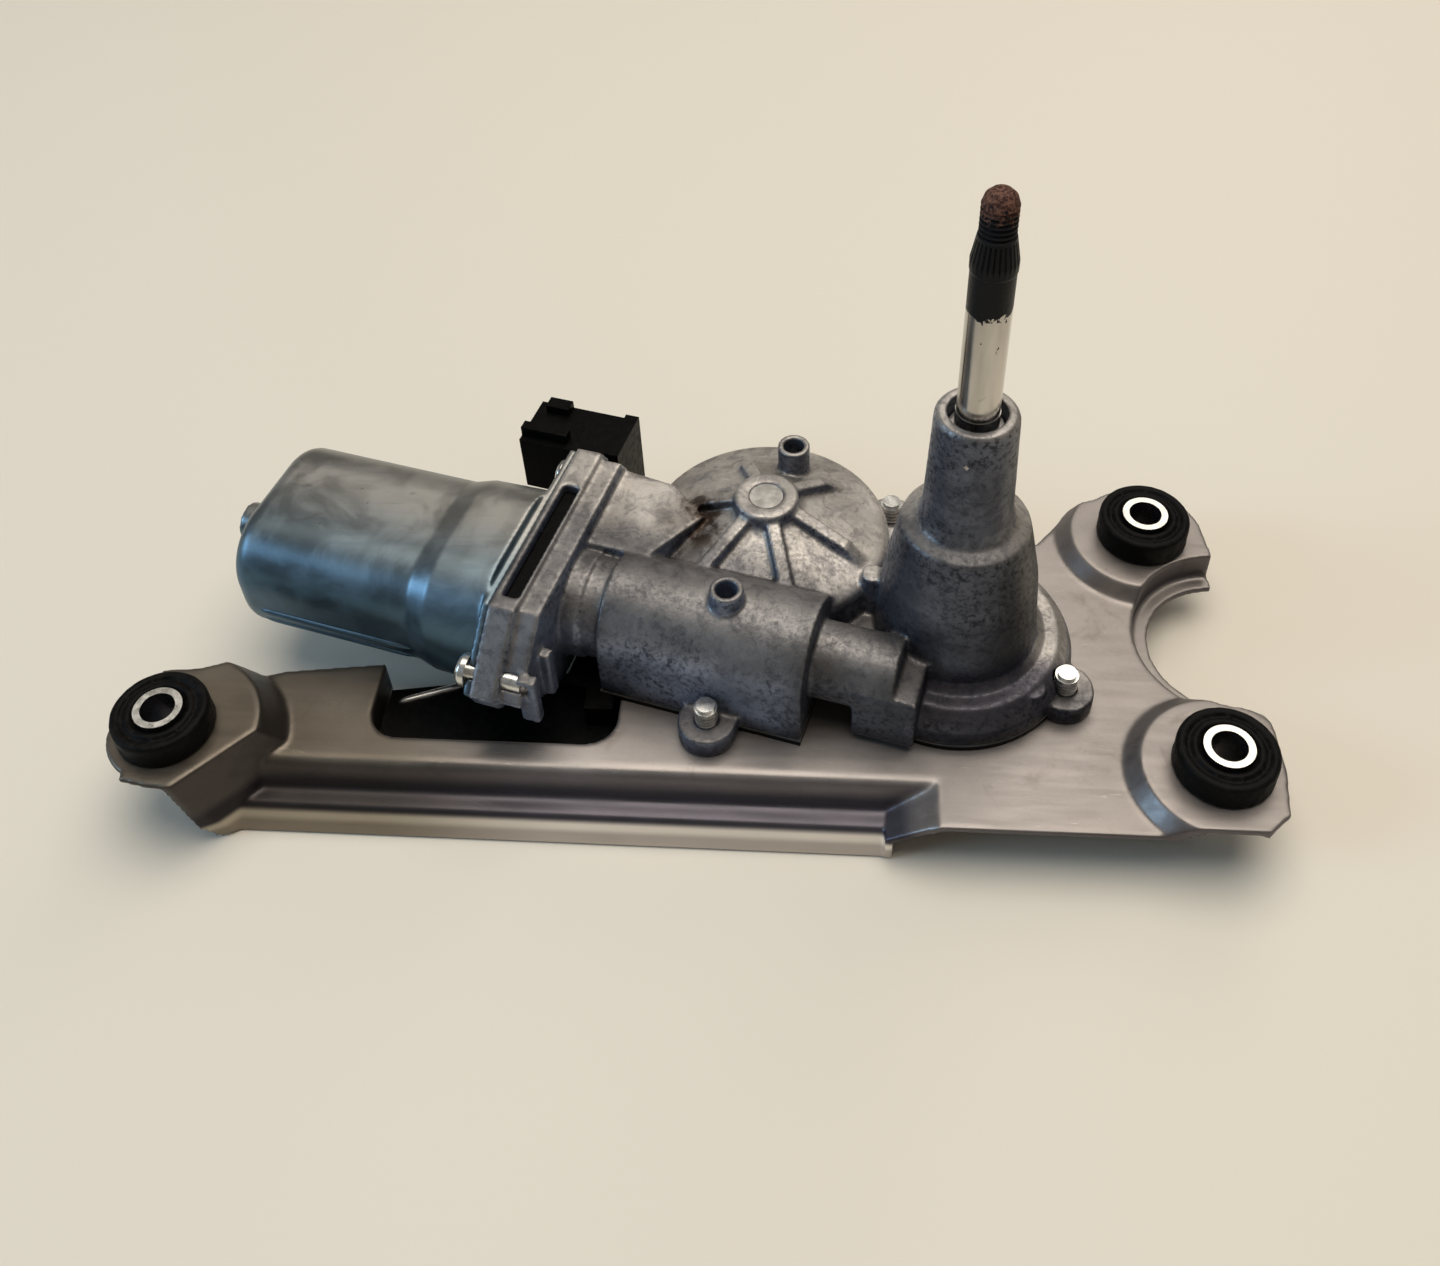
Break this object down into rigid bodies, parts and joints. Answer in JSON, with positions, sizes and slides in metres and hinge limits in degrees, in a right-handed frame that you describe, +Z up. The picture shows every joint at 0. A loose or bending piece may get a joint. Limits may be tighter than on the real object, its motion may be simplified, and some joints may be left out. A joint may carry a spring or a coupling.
{
  "type": "wiper motor",
  "caption": "Rear-window wiper motor on a pressed-steel bracket with rubber-mounted ears; worm gearbox and swing gear turn a tall serrated output shaft.",
  "frame": {"origin": "on the output shaft's axis, at the foot of its exposed plain shank just above the tower's mouth", "axes": "+Z up along the output shaft to its threaded end, +X along the bracket's straight front rail from the left ear to the right ears, +Y to the back, towards the connector"},
  "size_m": [0.2946, 0.1228, 0.1636],
  "materials": {
    "brass_part": "plain brass",
    "bright_steel": "bright zinc",
    "bronze_bush": "sintered bronze",
    "cast_alloy": "die-cast, mottled grey, dark speckles",
    "copper": "enamelled copper",
    "core_steel": "stacked laminations",
    "ferrite": "dark grey ferrite",
    "gasket_paper": "dark gasket sheet",
    "plastic_black": "black, slightly glossy",
    "plastic_natural": "natural white nylon",
    "pressed_steel": "satin grey coating on pressed sheet",
    "rubber_black": "black, dusty",
    "shaft_steel": "ground and polished, greased top",
    "spring_steel": "plain",
    "zinc_steel": "zinc-plated, dull"
  },
  "bodies": {
    "frame": {"bracket": "pressed_steel", "bracket_screws": "bright_steel", "brush_boxes": "brass_part", "brush_plate": "plastic_black", "brush_springs": "spring_steel", "brushes": "ferrite", "can_end_bush": "bronze_bush", "can_screws": "bright_steel", "choke_coils": "copper", "connector_terminals": "brass_part", "cover_gasket": "gasket_paper", "cover_screws": "bright_steel", "front_bearing": "bronze_bush", "gear_cover": "plastic_black", "gear_housing": "cast_alloy", "grommet_front": "rubber_black", "grommet_left": "rubber_black", "grommet_rear": "rubber_black", "magnet_clips": "spring_steel", "magnets": "ferrite", "motor_can": "zinc_steel", "output_bush_lower": "bronze_bush", "output_bush_upper": "bronze_bush", "park_contacts": "brass_part", "shaft_seal": "rubber_black", "sleeve_front": "bright_steel", "sleeve_left": "bright_steel", "sleeve_rear": "bright_steel", "thrust_pad": "plastic_natural", "thrust_washer": "spring_steel", "wheel_clip": "spring_steel", "wheel_pin": "shaft_steel", "worm_end_bush": "bronze_bush"},
    "armature": {"armature_shaft": "shaft_steel", "armature_core": "core_steel", "armature_windings": "copper", "commutator": "copper"},
    "wheel": {"worm_wheel": "plastic_natural", "contact_plate": "brass_part"},
    "link": {"link_plate_lower": "zinc_steel", "link_plate_upper": "zinc_steel", "sector_pin": "shaft_steel"},
    "rod": {"sector_rod": "spring_steel", "crank_pin": "shaft_steel"},
    "output": {"output_shaft": "shaft_steel", "output_pinion": "spring_steel", "retaining_ring": "spring_steel", "foot_clip": "spring_steel"}
  },
  "joints": [
    {"name": "armature_spin", "type": "hinge", "parent": "frame", "child": "armature", "pos_m": [-0.0641, -0.00821, -0.072], "axis": [0.9681, -0.2504, 0], "continuous": true},
    {"name": "wheel_spin", "type": "hinge", "parent": "frame", "child": "wheel", "pos_m": [-0.0499, 0.0223, -0.072], "axis": [0, 0, 1], "continuous": true},
    {"name": "output_swing", "type": "hinge", "parent": "frame", "child": "output", "pos_m": [0, 0, -0.0385], "axis": [0, 0, 1], "range_deg": [0, 130]},
    {"name": "link_swing", "type": "hinge", "parent": "frame", "child": "link", "pos_m": [0, 0, -0.0825], "axis": [0, 0, 1], "range_deg": [0, 41.4]},
    {"name": "rod_swing", "type": "hinge", "parent": "link", "child": "rod", "pos_m": [0.00791, 0.02053, -0.0825], "axis": [0, 0, 1], "range_deg": [-41.4, 0]}
  ],
  "couplings": [
    {"joint": "wheel_spin", "follows": "armature_spin", "ratio": -0.02},
    {"joint": "link_swing", "follows": "output_swing", "ratio": 0.31818},
    {"joint": "rod_swing", "follows": "output_swing", "ratio": -0.31818}
  ]
}
